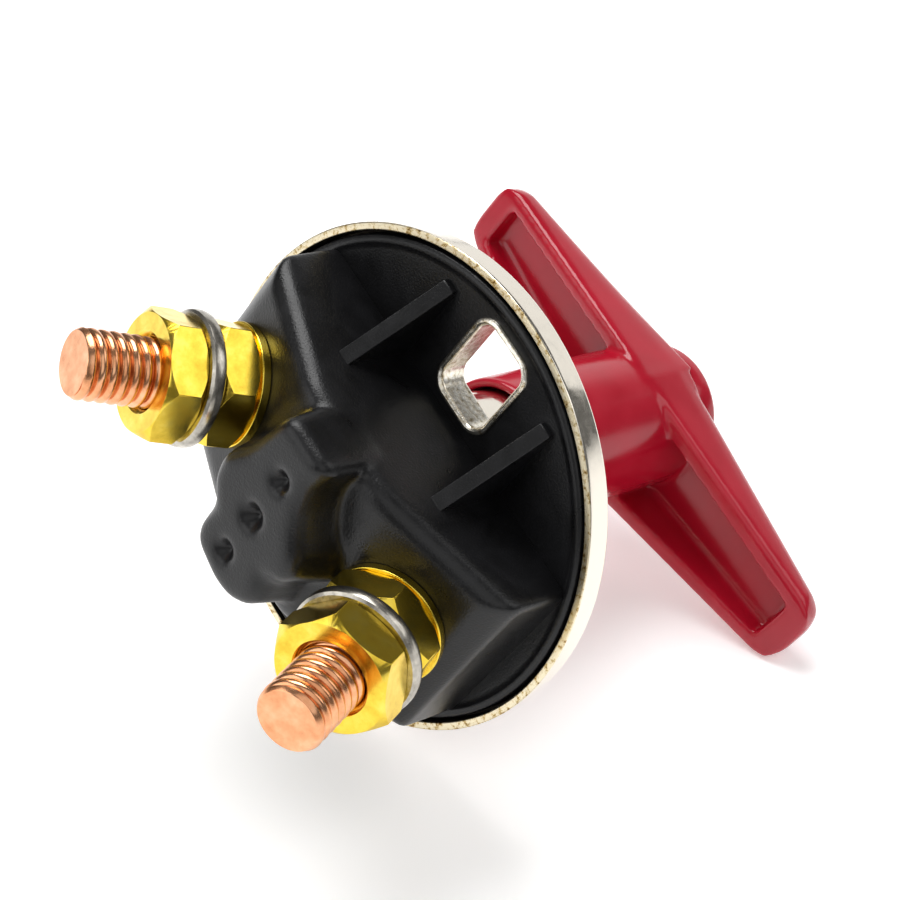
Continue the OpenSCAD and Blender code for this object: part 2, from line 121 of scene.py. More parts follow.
FLANGE_R = 33.3
FLANGE_REAR = 0.3
FLANGE_FRONT = 2.4
BLOCK_X = 14.5             # half-width of the contact block at its roof
EAVE_Y = 28.5              # eaves of its roof, where the end walls start
EAVE_Z = -11.4
END_FLARE = 3              # how much farther out the end walls stand at the foot
SIDE_DRAFT = 0.07          # how much wider the block is at the flange, as a part of its width
BLOCK_FOOT = 1.6           # how deep its foot is sunk into the flange
RIDGE_Y = 8
RIDGE_Z = -18.8
BLOCK_REACH = 32.2         # how far the corners of the block may reach from the middle
BOSS_REAR = box_mm("rear_housing")[0].z
BOSS_DEPTH = 12.5
DIMPLE_GAP = 7.8
MIDDLE_DIMPLE = (2.3, 2.3)   # radius, depth
OUTER_DIMPLE = (1.9, 2)
RIB_Y = 11.65
RIB_THICK = 2.3
RIB_END = 27.6             # from the middle
RIB_TOP = -11

STUD_LEAN = math.radians(19.7)
STUD_Y = 19.1
SEAT_Z = -14.8
STUD_R = 4.7625            # 3/8 inch thread, 16 turns to the inch
PITCH = 1.5875
THREAD_DEPTH = 0.7
STUD_END = 24.2            # along the stud, from its seat
THREAD_START = 12.6
SHANK_R = STUD_R - 0.4
SHANK_END = 13.2           # just inside the thread
HEAD_R = 7.5
HEAD_LOW, HEAD_HIGH = -6.6, -3.6
WASHER_BORE_R = STUD_R + 0.12
SEAT_WASHER = (8.5, 1.3)   # outer radius, thickness
LOCK_WASHER = (9.2, 2.2)
NUT_FLATS = 15.875
NUT_THICK = 5.45
NUT_CHAMFER_START = 1.25   # inside its corners
NUT_CHAMFER_SLOPE = 0.95
NUT_TURNS = {1: (37, 62), -1: (42, 35)}   # degrees that the inner and outer nut stand turned
SPLIT_AT = 162             # degrees round the stud where the lock washer starts
SPLIT_LENGTH = 355         # degrees that it covers

HANDLE_TOP = 57
HANDLE_TIP = box_mm("handle")[1].y
WING_HALF = 11             # half the width of a wing at the hub
WING_TAPER = 0.115
UNDERSIDE = 45.6           # the wings' lower edge at the hub
UNDERSIDE_RISE = 0.155
HOLLOW_START, HOLLOW_END = 5, 37.7
HOLLOW_TOP = 54.4
WING_WALL = 2.6
HUB_R = 10.8
HUB_FLOOR = 27.1           # where the visible hub is closed inside its skirt
SKIRT_Z = box_mm("handle")[0].z
SKIRT_BORE_R = 9.45
CROWN_TOP = box_mm("handle")[1].z
CAP_R = 5.5


# ---- shaping --------------------------------------------------------------------------

def loose_object(bm):
    """An object of its own for a bmesh, on which a modifier can work."""
    mesh = bpy.data.meshes.new("work")
    bm.to_mesh(mesh)
    bm.free()
    obj = bpy.data.objects.new("work", mesh)
    bpy.context.scene.collection.objects.link(obj)
    return obj


def worked(bm, kind, other=None, **settings):
    """What a modifier makes of a bmesh, with another bmesh as its tool if there is one."""
    objects = [loose_object(b) for b in (bm, other) if b]
    modifier = objects[0].modifiers.new("work", kind)
    for key, value in settings.items():
        setattr(modifier, key, value)
    if other:
        modifier.object = objects[1]
    graph = bpy.context.evaluated_depsgraph_get()
    mesh = bpy.data.meshes.new_from_object(objects[0].evaluated_get(graph), depsgraph=graph)
    result = bmesh.new()
    result.from_mesh(mesh)
    bpy.data.meshes.remove(mesh)
    for obj in objects:
        bpy.data.meshes.remove(obj.data)
    return result


def cut(bm, tool):
    """bm less tool."""
    return worked(bm, "BOOLEAN", other=tool, operation="DIFFERENCE", solver="MANIFOLD")


def joined(*parts):
    """Several bmeshes as one."""
    for part in parts[1:]:
        mesh = bpy.data.meshes.new("part")
        part.to_mesh(mesh)
        part.free()
        parts[0].from_mesh(mesh)
        bpy.data.meshes.remove(mesh)
    return parts[0]


def melted(bm, grain, passes):
    """Overlapping closed shapes run together into one skin with soft corners."""
    bm = worked(bm, "REMESH", mode="VOXEL", voxel_size=grain)
    for _ in range(passes):
        bmesh.ops.smooth_vert(bm, verts=bm.verts, factor=0.5,
                              use_axis_x=True, use_axis_y=True, use_axis_z=True)
    return bm


def prism(points, along):
    """The flat shape through points, carried along a vector."""
    bm = bmesh.new()
    face = bm.faces.new([bm.verts.new(point) for point in points])
    grown = bmesh.ops.extrude_face_region(bm, geom=[face])["geom"]
    far_end = [g for g in grown if isinstance(g, bmesh.types.BMVert)]
    bmesh.ops.translate(bm, vec=along, verts=far_end)
    bmesh.ops.recalc_face_normals(bm, faces=bm.faces)
    return bm


def rounded(bm, width, segments=3, sharper_than=25, where=None):
    """Rounds the edges that turn by more than an angle, or those that where() picks."""
    limit = math.radians(sharper_than)
    edges = [e for e in bm.edges
             if e.is_manifold and (where(e) if where else e.calc_face_angle(0) > limit)]
    bmesh.ops.bevel(bm, geom=edges, offset=width, offset_type="OFFSET", segments=segments,
                    profile=0.5, affect="EDGES", clamp_overlap=True, material=-1)
    return bm


def rounded_by_radius(bm, radius_of, segments=5):
    """Rounds each edge by the radius that radius_of() gives for its middle and direction."""
    weight = bm.edges.layers.float.new("bevel_weight_edge")
    radii = {}
    for e in bm.edges:
        low, high = (v.co for v in e.verts)
        radii[e] = radius_of((low + high) / 2, (high - low).normalized())
    widest = max(radii.values())
    for e, radius in radii.items():
        e[weight] = radius / widest
    bm = worked(bm, "BEVEL", limit_method="WEIGHT", width=widest, segments=segments,
                use_clamp_overlap=False)
    bmesh.ops.remove_doubles(bm, verts=bm.verts, dist=0.001)
    return bm


def turned(profile, steps=96, closed=True):
    """A line of (radius, height) points spun round the z axis."""
    bm = bmesh.new()
    verts = [bm.verts.new((radius, 0, height)) for radius, height in profile]
    ends = list(zip(verts, verts[1:] + verts[:1] if closed else verts[1:]))
    edges = [bm.edges.new(pair) for pair in ends]
    bmesh.ops.spin(bm, geom=verts + edges, cent=(0, 0, 0), axis=(0, 0, 1),
                   angle=math.tau, steps=steps, use_merge=True)
    bmesh.ops.remove_doubles(bm, verts=bm.verts, dist=0.0005)
    bmesh.ops.recalc_face_normals(bm, faces=bm.faces)
    return bm


def rounded_prism(length, width, corner, low, high):
    """A block with round upright corners, centred on the z axis."""
    x, y = length / 2, width / 2
    bm = prism([(x, y, low), (-x, y, low), (-x, -y, low), (x, -y, low)], (0, 0, high - low))
    return rounded(bm, corner, 10, where=lambda e: abs(e.verts[0].co.z - e.verts[1].co.z) > 0.1)


def everything(bm):
    """What the bisecting operator takes as its geometry."""
    return bm.verts[:] + bm.edges[:] + bm.faces[:]


def moved(bm, x=0, y=0, z=0):
    bmesh.ops.translate(bm, vec=(x, y, z), verts=bm.verts)
    return bm


def placed(bm, name, body, slot, materials, nodes, sharp=32):
    """Makes the finished piece that stands for some CAD nodes, in the frame of the model."""
    bm.transform(TO_FRAME)
    for face in bm.faces:
        face.smooth = True
    for edge in bm.edges:
        edge.smooth = not edge.is_manifold or edge.calc_face_angle(0) < math.radians(sharp)
    mesh = bpy.data.meshes.new(name)
    bm.to_mesh(mesh)
    bm.free()
    for material in materials:
        mesh.materials.append(material)
    piece = bpy.data.objects.new(name, mesh)
    bpy.context.scene.collection.objects.link(piece)
    piece.modifiers.new("flats stay flat", "WEIGHTED_NORMAL").keep_sharp = True
    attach(piece, body)
    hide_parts(*nodes)
    return piece


# ---- materials ------------------------------------------------------------------------

def linear(colour):
    """An sRGB hex colour as the linear colour that shaders take."""
    parts = [int(colour[i:i + 2], 16) / 255 for i in (1, 3, 5)]
    return tuple(c / 12.92 if c <= 0.04045 else ((c + 0.055) / 1.055) ** 2.4
                 for c in parts) + (1,)


def add(tree, kind, settings=(), links=()):
    """Adds a node, with its properties and inputs by name, and the sockets that feed it."""
    node = tree.nodes.new("ShaderNode" + kind)
    for key, value in dict(settings).items():
        if key == "stops":
            ramp = node.color_ramp.elements
            while len(ramp) < len(value):
                ramp.new(0.5)
            for stop, (place, colour) in zip(ramp, value):
                stop.position, stop.color = place, linear(colour)
        elif hasattr(node, key):
            setattr(node, key, value)
        else:
            node.inputs[key].default_value = value
    for key, socket in dict(links).items():
        tree.links.new(socket, node.inputs[key])
    return node


def new_material(name):
    """A material with only its object coordinates and its output."""
    material = bpy.data.materials.new(name)
    material.use_nodes = True
    tree = material.node_tree
    tree.nodes.clear()
    place = add(tree, "TexCoord").outputs["Object"]
    return material, tree, place


def finish_with(tree, settings, links):
    """Ends a material with its surface shader."""
    shader = add(tree, "BsdfPrincipled", settings, links)
    add(tree, "OutputMaterial", (), {"Surface": shader.outputs["BSDF"]})


def noise(tree, place, size_mm, detail, **settings):
    """Noise with features that many millimetres across."""
    node = add(tree, "TexNoise", {"Scale": 1000 / size_mm, "Detail": detail, **settings},
               {"Vector": place})
    return node.outputs["Fac"]


def tint(tree, factor, *stops):
    """A colour that runs through the stops, each a place and a hex colour."""
    return add(tree, "ValToRGB", {"stops": stops}, {"Fac": factor}).outputs["Color"]


def spread(tree, factor, low, high, at_low, at_high):
    """A value that goes from at_low to at_high as the factor goes from low to high."""
    node = add(tree, "MapRange", {"From Min": low, "From Max": high, "To Min": at_low,
                                  "To Max": at_high}, {"Value": factor})
    return node.outputs["Result"]


def relief(tree, height, strength, depth_mm):
    """Fine unevenness of that depth."""
    node = add(tree, "Bump", {"Strength": strength, "Distance": depth_mm / 1000},
               {"Height": height})
    return node.outputs["Normal"]


def phenolic_moulding():
    """Black phenolic, compression moulded: satin, with the fine grain of its filler and
    faint duller and glossier patches where it flowed in the mould."""
    material, tree, place = new_material("phenolic_moulding")
    grain = noise(tree, place, 0.32, 2, Roughness=0.6)
    flow = noise(tree, place, 6, 4, Distortion=1.2)
    finish_with(tree, {"IOR": 1.56, "Specular IOR Level": 0.3}, {
        "Base Color": tint(tree, flow, (0.3, "#0B0B0C"), (0.7, "#131315")),
        "Roughness": spread(tree, flow, 0.3, 0.7, 0.27, 0.36),
        "Normal": relief(tree, grain, 0.8, 0.06)})
    return material


def nickel_plating():
    """Zinc casting, polished and nickel plated: a warm mirror with slow waves left by the
    polishing wheel."""
    material, tree, place = new_material("nickel_plating")
    waves = noise(tree, place, 7, 1)
    smear = noise(tree, place, 1.5, 5, Roughness=0.7)
    finish_with(tree, {"Base Color": linear("#E6DFD2"), "Metallic": 1}, {
        "Roughness": spread(tree, smear, 0.35, 0.75, 0.07, 0.22),
        "Normal": relief(tree, waves, 0.25, 0.2)})
    return material


def unpolished_rim():
    """The same casting where the wheel didn't reach: thin plating over a pitted skin, golden
    to brown."""
    material, tree, place = new_material("unpolished_rim")
    patches = noise(tree, place, 1.1, 5, Roughness=0.7)
    pits = noise(tree, place, 0.35, 3, Roughness=0.7)
    finish_with(tree, {"Metallic": 1, "Roughness": 0.28}, {
        "Base Color": tint(tree, patches, (0.36, "#6E4E22"), (0.42, "#BFA670"), (0.5, "#E8DCBE")),
        "Normal": relief(tree, pits, 0.6, 0.06)})
    return material


def cast_plating():
    """The same casting inside its holes: plated over the fine unevenness of the die."""
    material, tree, place = new_material("cast_plating")
    skin = noise(tree, place, 0.7, 5, Roughness=0.6)
    finish_with(tree, {"Metallic": 1, "Roughness": 0.27}, {
        "Base Color": tint(tree, skin, (0.34, "#A89878"), (0.42, "#DCD3C0"), (0.6, "#F2EEE4")),
        "Normal": relief(tree, skin, 0.6, 0.08)})
    return material


def painted_shade_inside_rim():
    """The same casting behind the rim, made dull dark grey metal as painted shade for the shadow
    in the gap round the housing's flange.
    """
    material, tree, place = new_material("painted_shade_inside_rim")
    skin = noise(tree, place, 0.9, 4)
    finish_with(tree, {"Metallic": 1, "Roughness": 0.6}, {
        "Base Color": tint(tree, skin, (0.3, "#2A2622"), (0.7, "#443E36"))})
    return material


def machined_brass():
    """Free-cutting brass, turned and milled from bar: bright yellow with faint tarnish and
    fine tool marks."""
    material, tree, place = new_material("machined_brass")
    tarnish = noise(tree, place, 3, 5, Roughness=0.65)
    marks = noise(tree, place, 0.25, 3)
    finish_with(tree, {"Metallic": 1}, {
        "Base Color": tint(tree, tarnish, (0.25, "#D6B036"), (0.5, "#E9C948"), (0.75, "#F1D868")),
        "Roughness": spread(tree, tarnish, 0.3, 0.7, 0.24, 0.14),
        "Normal": relief(tree, marks, 0.1, 0.02)})
    return material


def rolled_copper():
    """Hard copper: salmon pink, a little darker and duller in patches, with fine marks of the
    thread rolling."""
    material, tree, place = new_material("rolled_copper")
    patches = noise(tree, place, 2.5, 5, Roughness=0.6)
    marks = noise(tree, place, 0.3, 2)
    finish_with(tree, {"Metallic": 1}, {
        "Base Color": tint(tree, patches, (0.3, "#D58F62"), (0.5, "#E5A479"), (0.7, "#EEB78F")),
        "Roughness": spread(tree, patches, 0.3, 0.7, 0.28, 0.18),
        "Normal": relief(tree, marks, 0.15, 0.04)})
    return material


def spring_steel():
    """Hardened spring steel, oiled and unplated: grey, darker where scale is left on it."""
    material, tree, place = new_material("spring_steel")
    scale = noise(tree, place, 1.3, 5, Roughness=0.7)
    finish_with(tree, {"Metallic": 1, "Roughness": 0.24}, {
        "Base Color": tint(tree, scale, (0.3, "#948F86"), (0.5, "#B1ACA2"), (0.7, "#C9C4BA")),
        "Normal": relief(tree, scale, 0.15, 0.03)})
    return material


def zinc_plated_steel():
    """Mild steel with clear zinc plating: pale grey, slightly frosted."""
    material, tree, place = new_material("zinc_plated_steel")
    frost = noise(tree, place, 0.8, 4)
    finish_with(tree, {"Base Color": linear("#B9BBBD"), "Metallic": 1}, {
        "Roughness": spread(tree, frost, 0, 1, 0.22, 0.42)})
    return material


def red_moulding():
    """Red nylon, injection moulded in a polished tool: glossy, with the slightest ripple."""
    material, tree, place = new_material("red_moulding")
    ripple = noise(tree, place, 3.5, 1)
    haze = noise(tree, place, 9, 3)
    finish_with(tree, {"IOR": 1.47}, {
        "Base Color": tint(tree, haze, (0.3, "#A50E24"), (0.7, "#B2142B")),
        "Roughness": spread(tree, haze, 0.3, 0.7, 0.15, 0.23),
        "Normal": relief(tree, ripple, 0.15, 0.03)})
    return material


def moulded_rubber():
    """Black nitrile rubber: dull, with a bloom that greys it in patches."""
    material, tree, place = new_material("moulded_rubber")
    bloom = noise(tree, place, 2.5, 4)
    finish_with(tree, {"Roughness": 0.7, "IOR": 1.52}, {
        "Base Color": tint(tree, bloom, (0.35, "#151515"), (0.7, "#232324"))})
    return material


def natural_nylon():
    """Undyed nylon: milky, with soft shine."""
    material, tree, place = new_material("natural_nylon")
    cloud = noise(tree, place, 4, 3)
    finish_with(tree, {"Roughness": 0.4, "IOR": 1.53}, {
        "Base Color": tint(tree, cloud, (0.35, "#D6D2C4"), (0.65, "#E4E1D6"))})
    return material


PHENOLIC = phenolic_moulding()
NICKEL = nickel_plating()
RAW_RIM = unpolished_rim()
CAST_PLATING = cast_plating()
PAINTED_SHADE_INSIDE_RIM = painted_shade_inside_rim()
BRASS = machined_brass()
COPPER = rolled_copper()
SPRING_STEEL = spring_steel()
ZINC_STEEL = zinc_plated_steel()
RED = red_moulding()
RUBBER = moulded_rubber()
NYLON = natural_nylon()

SLOT_FINISH = {
    "plated_zinc": NICKEL, "black_moulding": PHENOLIC, "red_plastic": RED, "copper": COPPER,
    "brass": BRASS, "dull_steel": SPRING_STEEL, "plain_steel": ZINC_STEEL,
    "gasket_rubber": RUBBER, "white_nylon": NYLON}
for subpart in frame["record"]["subparts"]:
    mesh = frame["nodes"][subpart["node"]].data
    mesh.materials.clear()
    mesh.materials.append(SLOT_FINISH[subpart["material_slot"]])


# ---- face plate -----------------------------------------------------------------------

def hole_cutter(x, outset, top):
    """What is cut away at a mounting hole, that far outside its wall."""
    return moved(rounded_prism(HOLE_LENGTH + 2 * outset, HOLE_WIDTH + 2 * outset,
                               HOLE_CORNER + outset, -2, top), x=x)


def slot_ring(bm, outset, height):
    """One closed line round a mounting hole, that far outside its wall. It is a circle drawn
    apart into four corners, so it is turned by half a step to have no point on an axis."""
    steps = 40
    ring = bmesh.ops.create_circle(
        bm, segments=steps, radius=HOLE_CORNER + outset,
        matrix=Matrix.Translation((0, 0, height))
        @ Matrix.Rotation(math.tau / (2 * steps), 4, "Z"))["verts"]
    for vert in ring:
        vert.co.x += math.copysign(HOLE_LENGTH / 2 - HOLE_CORNER, vert.co.x)
        vert.co.y += math.copysign(HOLE_WIDTH / 2 - HOLE_CORNER, vert.co.y)
    return list({edge for vert in ring for edge in vert.link_edges})


def hole_tube(x):
    """Cast tube through a mounting hole, with its end rolled over the housing."""
    section = [(0.5, PLATE_FRONT - 0.02), (0.2, PLATE_FRONT - 0.1), (0, PLATE_FRONT - 0.5),
               (0, 0.5), (0.06, 0.18), (0.2, -0.08), (0.45, -0.24), (0.7, -0.22), (0.92, -0.06),
               (1, 0.15), (0.96, FLANGE_REAR + 0.05), (TUBE_WALL, FLANGE_REAR + 0.1),
               (TUBE_WALL, PLATE_FRONT - 0.4)]
    bm = bmesh.new()
    rings = [slot_ring(bm, outset, height) for outset, height in section]
    for first, second in zip(rings, rings[1:] + rings[:1]):
        bmesh.ops.bridge_loops(bm, edges=first + second)
    bmesh.ops.recalc_face_normals(bm, faces=bm.faces)
    return moved(bm, x=x)


def face_plate():
    """The plate with its rim and neck, and the tubes of its mounting holes."""
    finishes = [NICKEL, RAW_RIM, PAINTED_SHADE_INSIDE_RIM, CAST_PLATING]
    edge_r = PLATE_R - 0.35
    bm = turned([
        (NECK_BORE_R, FRONT_WALL), (RIM_INNER_R, FRONT_WALL), (RIM_INNER_R, 0.0),
        (PLATE_R, 0.0), (PLATE_R, 0.6), (edge_r, PLATE_FRONT - 0.7), (edge_r - 0.8, PLATE_FRONT),
        (NECK_BASE_R + 1.8, PLATE_FRONT), (NECK_BASE_R + 0.5, PLATE_FRONT + 0.4),
        (NECK_BASE_R, PLATE_FRONT + 1.6), (NECK_TIP_R, NECK_TOP - 0.4),
        (NECK_TIP_R - 0.4, NECK_TOP), (NECK_BORE_R + 0.35, NECK_TOP),
        (NECK_BORE_R, NECK_TOP - 0.4)], steps=160)
    rounded(bm, 0.22, 3, sharper_than=20)
    for side in (-1, 1):
        bm = cut(bm, hole_cutter(side * HOLE_X, TUBE_SEAT, 8))
    # The rim's rear face gets the unpolished finish. The inside of the dish behind the rim gets a
    # dull dark grey that is painted shade for the shadow there.
    for face in bm.faces:
        middle = face.calc_center_median()
        if middle.xy.length > RIM_INNER_R - 0.05 and middle.z < 0.12:
            face.material_index = finishes.index(RAW_RIM)
        elif middle.xy.length < RIM_INNER_R + 0.01 and middle.z < FRONT_WALL + 0.01:
            face.material_index = finishes.index(PAINTED_SHADE_INSIDE_RIM)
    tubes = joined(hole_tube(HOLE_X), hole_tube(-HOLE_X))
    for face in tubes.faces:
        face.material_index = finishes.index(CAST_PLATING)
    placed(joined(bm, tubes), "plated_face", "switch_body", "plated_zinc", finishes,
           ["face_plate"])


# ---- rear housing ---------------------------------------------------------------------

def block_radius(middle, along):
    """How round each edge of the contact block is."""
    if middle.z > -5:
        return 0.6
    if abs(along.x) > 0.9:
        return 3.6 if abs(middle.y) > 20 else 3
    if abs(middle.y) > EAVE_Y:
        return 5
    return 2.6 if middle.x > 0 else 4.2


def contact_block():
    """The roof-shaped block that the studs stand in, with its foot kept inside the flange."""
    foot_y, foot_z = EAVE_Y + END_FLARE, FLANGE_REAR + BLOCK_FOOT
    side = [(-foot_y, foot_z), (-EAVE_Y, EAVE_Z), (-RIDGE_Y, RIDGE_Z),
            (RIDGE_Y, RIDGE_Z), (EAVE_Y, EAVE_Z), (foot_y, foot_z)]
    bm = prism([(-BLOCK_X, y, z) for y, z in side], (2 * BLOCK_X, 0, 0))
    for vert in bm.verts:
        vert.co.x *= 1 + SIDE_DRAFT * (vert.co.z - RIDGE_Z) / (FLANGE_REAR - RIDGE_Z)
    bm = rounded_by_radius(bm, block_radius, segments=8)
    for vert in bm.verts:
        reach = vert.co.xy.length
        if reach > BLOCK_REACH:
            vert.co.xy *= BLOCK_REACH / reach
    return bm


def rear_boss():
    """The lobed boss over the return spring. It widens towards the block, least at its
    square end."""
    rear = [(15.4, -5.3), (6.2, -6.6), (1.6, -9), (-2.4, -8.3), (-5.4, -5.4), (-9, -5.7),
            (-12, -4.8), (-13.2, 1.3), (-12.6, 5), (-10, 7.6), (-7, 7.9), (-4.6, 6.8),
            (-2.2, 9.2), (1.3, 9.4), (5.6, 5.8), (8.6, 4.3), (12.5, 3.7), (15.6, 4.8)]
    square_end_x = 10
    bm = prism([(x, y, BOSS_REAR) for x, y in rear], (0, 0, BOSS_DEPTH))
    for vert in bm.verts:
        if vert.co.z > BOSS_REAR + 1:
            vert.co.y *= 1.1 if vert.co.x > square_end_x else 1.35
            vert.co.x *= 0.95
    bm = rounded_by_radius(bm, lambda middle, along: 2.2 if abs(along.z) > 0.5 else 1.9)
    for i in (-1, 0, 1):
        radius, depth = OUTER_DIMPLE if i else MIDDLE_DIMPLE
        dimple = bmesh.new()
        bmesh.ops.create_cone(dimple, cap_ends=True, segments=32, radius1=radius + 0.15,
                              radius2=0.25, depth=depth + 0.2)
        bm = cut(bm, moved(dimple, x=i * DIMPLE_GAP, z=BOSS_REAR + depth / 2 - 0.1))
    return bm


def stiffening_rib(x_side, y_side):
    """A rib between block and flange, with its root and foot sunk into them."""
    root, foot = BLOCK_X - 0.6, FLANGE_REAR + 0.4
    points = [(root, foot), (root, RIB_TOP), (BLOCK_X + 0.1, RIB_TOP), (RIB_END, -0.45),
              (RIB_END, foot)]
    y = y_side * RIB_Y - RIB_THICK / 2
    bm = prism([(x_side * x, y, z) for x, z in points], (0, RIB_THICK, 0))
    return rounded(bm, 0.22, 3)


def rear_housing():
    """Flange, block with boss, and ribs. It is solid, where the CAD housing is hollow."""
    # A low bead runs round its edge.
    flange = turned([
        (0, FLANGE_FRONT), (FLANGE_R, FLANGE_FRONT), (FLANGE_R, 0.55), (33.1, 0.2),
        (32.7, 0.0), (32.2, 0.0), (31.8, 0.2), (31.3, FLANGE_REAR), (0, FLANGE_REAR)],
        steps=160, closed=False)
    rounded(flange, 0.12, 2, sharper_than=20)
    for side in (-1, 1):
        flange = cut(flange, hole_cutter(side * HOLE_X, HOUSING_SEAT, 6))
    block = melted(joined(contact_block(), rear_boss()), grain=0.32, passes=14)
    ribs = [stiffening_rib(x, y) for x in (-1, 1) for y in (-1, 1)]
    placed(joined(flange, block, *ribs), "moulded_housing", "switch_body", "black_moulding",
           [PHENOLIC], ["rear_housing"], sharp=40)


# ---- terminals ------------------------------------------------------------------------

def on_stud(bm, side):
    """Moves a piece drawn along z from the seat onto the stud at one side."""
    bm.transform(Matrix.Translation((0, side * STUD_Y, SEAT_Z))
                 @ Matrix.Rotation(math.pi + side * STUD_LEAN, 4, "X"))
    return bm


def screw_thread(low, high):
    """A rolled thread from low to high, with its last turn dressed down to a flat end."""
    tooth = [(0, 0), (0.05, 0.22), (0.12, 0.5), (0.22, 0.76), (0.35, 0.94), (0.5, 1),
             (0.65, 0.94), (0.78, 0.76), (0.88, 0.5), (0.95, 0.22), (1, 0)]
    steps = 72
    turns = math.ceil((high - low) / PITCH) + 3
    bm = bmesh.new()
    verts = [bm.verts.new((STUD_R - THREAD_DEPTH * (1 - rise), 0, low + PITCH * (along - 1.5)))
             for along, rise in tooth]
    edges = [bm.edges.new(pair) for pair in zip(verts, verts[1:])]
    bmesh.ops.spin(bm, geom=verts + edges, cent=(0, 0, 0), axis=(0, 0, 1),
                   dvec=(0, 0, PITCH / steps), angle=math.tau * turns, steps=steps * turns,
                   use_merge=False)
    bmesh.ops.remove_doubles(bm, verts=bm.verts, dist=0.002)
    for height, outward in ((low, -1), (high, 1)):
        made = bmesh.ops.bisect_plane(
            bm, geom=everything(bm), dist=1e-5, plane_co=(0, 0, height),
            plane_no=(0, 0, outward), clear_outer=True)["geom_cut"]
        rim = [e for e in made if isinstance(e, bmesh.types.BMEdge)]
        bmesh.ops.edgeloop_fill(bm, edges=rim)
    bmesh.ops.recalc_face_normals(bm, faces=bm.faces)
    wide = STUD_R + 0.5
    dressing = turned([(0, low - 1), (wide, low - 1), (wide, high - 1.4), (STUD_R, high - 0.75),
                       (4.36, high - 0.1), (4.22, high), (0, high)], steps=96, closed=False)
    return worked(bm, "BOOLEAN", other=dressing, operation="INTERSECT", solver="MANIFOLD")


def terminal_stud(side):
    """Stud with its head inside the housing, plain where washers and nuts hide it."""
    head = turned([(0, HEAD_LOW), (HEAD_R, HEAD_LOW), (HEAD_R, HEAD_HIGH), (SHANK_R, HEAD_HIGH),
                   (SHANK_R, SHANK_END), (0, SHANK_END)], steps=64, closed=False)
    return on_stud(joined(rounded(head, 0.25), screw_thread(THREAD_START, STUD_END)), side)


def hex_nut(side, which, low):
    """Hexagon nut with chamfered faces and a countersunk bore."""
    corner = NUT_FLATS / math.sqrt(3)
    flat_r = corner - NUT_CHAMFER_START
    wide = corner + 1
    drop = (wide - flat_r) * NUT_CHAMFER_SLOPE
    bore, mouth = STUD_R + 0.05, STUD_R + 0.7
    hexagon = bmesh.new()
    bmesh.ops.create_cone(hexagon, cap_ends=True, segments=6, radius1=corner, radius2=corner,
                          depth=NUT_THICK + 2)
    rounded(hexagon, 0.12, 3)
    blank = turned([
        (bore, 0.7), (mouth, 0), (flat_r, 0), (wide, drop), (wide, NUT_THICK - drop),
        (flat_r, NUT_THICK), (mouth, NUT_THICK), (bore, NUT_THICK - 0.7)], steps=144)
    bm = worked(moved(hexagon, z=NUT_THICK / 2), "BOOLEAN", other=blank,
                operation="INTERSECT", solver="MANIFOLD")
    bm = worked(bm, "BEVEL", limit_method="ANGLE", angle_limit=math.radians(20), width=0.09,
                segments=2)
    bm.transform(Matrix.Translation((0, 0, low))
                 @ Matrix.Rotation(math.radians(NUT_TURNS[side][which]), 4, "Z"))
    return on_stud(bm, side)


def plain_washer(side, outer_r, thick, low):
    bm = turned([(WASHER_BORE_R, low), (outer_r, low), (outer_r, low + thick),
                 (WASHER_BORE_R, low + thick)], steps=96)
    return on_stud(rounded(bm, 0.18, 3), side)


def split_washer(side, low):
    """Spring lock washer: a bar of spring steel bent round once, with a gap between its
    ends."""
    outer_r, thick = LOCK_WASHER
    bm = bmesh.new()
    section = [(WASHER_BORE_R, 0.08), (WASHER_BORE_R + 0.25, 0), (outer_r - 0.5, 0.05),
               (outer_r - 0.12, 0.35), (outer_r, 0.8), (outer_r, thick - 0.8),
               (outer_r - 0.12, thick - 0.35), (outer_r - 0.5, thick - 0.05),
               (WASHER_BORE_R + 0.25, thick), (WASHER_BORE_R, thick - 0.08)]
    verts = [bm.verts.new((radius, 0, height)) for radius, height in section]
    edges = [bm.edges.new(pair) for pair in zip(verts, verts[1:] + verts[:1])]
    bmesh.ops.spin(bm, geom=verts + edges, cent=(0, 0, 0), axis=(0, 0, 1),
                   angle=math.radians(SPLIT_LENGTH), steps=120)
    bmesh.ops.holes_fill(bm, edges=[e for e in bm.edges if e.is_boundary])
    bmesh.ops.recalc_face_normals(bm, faces=bm.faces)
    bm.transform(Matrix.Translation((0, 0, low))
                 @ Matrix.Rotation(math.radians(SPLIT_AT), 4, "Z"))
    return on_stud(bm, side)


def terminals():
    """On each stud, from the housing outwards: washer, nut, lock washer and nut."""
    for side, name in ((1, "left"), (-1, "right")):
        nut_low = SEAT_WASHER[1]
        lock_low = nut_low + NUT_THICK
        outer_low = lock_low + LOCK_WASHER[1]
        for bm, piece, slot, finish in (
                (terminal_stud(side), "terminal_stud", "copper", COPPER),
                (plain_washer(side, *SEAT_WASHER, 0), "seat_washer", "brass", BRASS),
                (hex_nut(side, 0, nut_low), "seat_nut", "brass", BRASS),
                (split_washer(side, lock_low), "lock_washer", "dull_steel", SPRING_STEEL),
                (hex_nut(side, 1, outer_low), "terminal_nut", "brass", BRASS)):
            node = f"{name}_{piece}"
            placed(bm, f"finished_{node}", "switch_body", slot, [finish], [node])


# ---- handle ---------------------------------------------------------------------------

def wing_half_width(y):
    """Half the width of a wing at that distance from the middle."""
    return WING_HALF - WING_TAPER * abs(y)


def underside(y):
    """Height of a wing's lower edge there."""
    return UNDERSIDE + UNDERSIDE_RISE * abs(y)


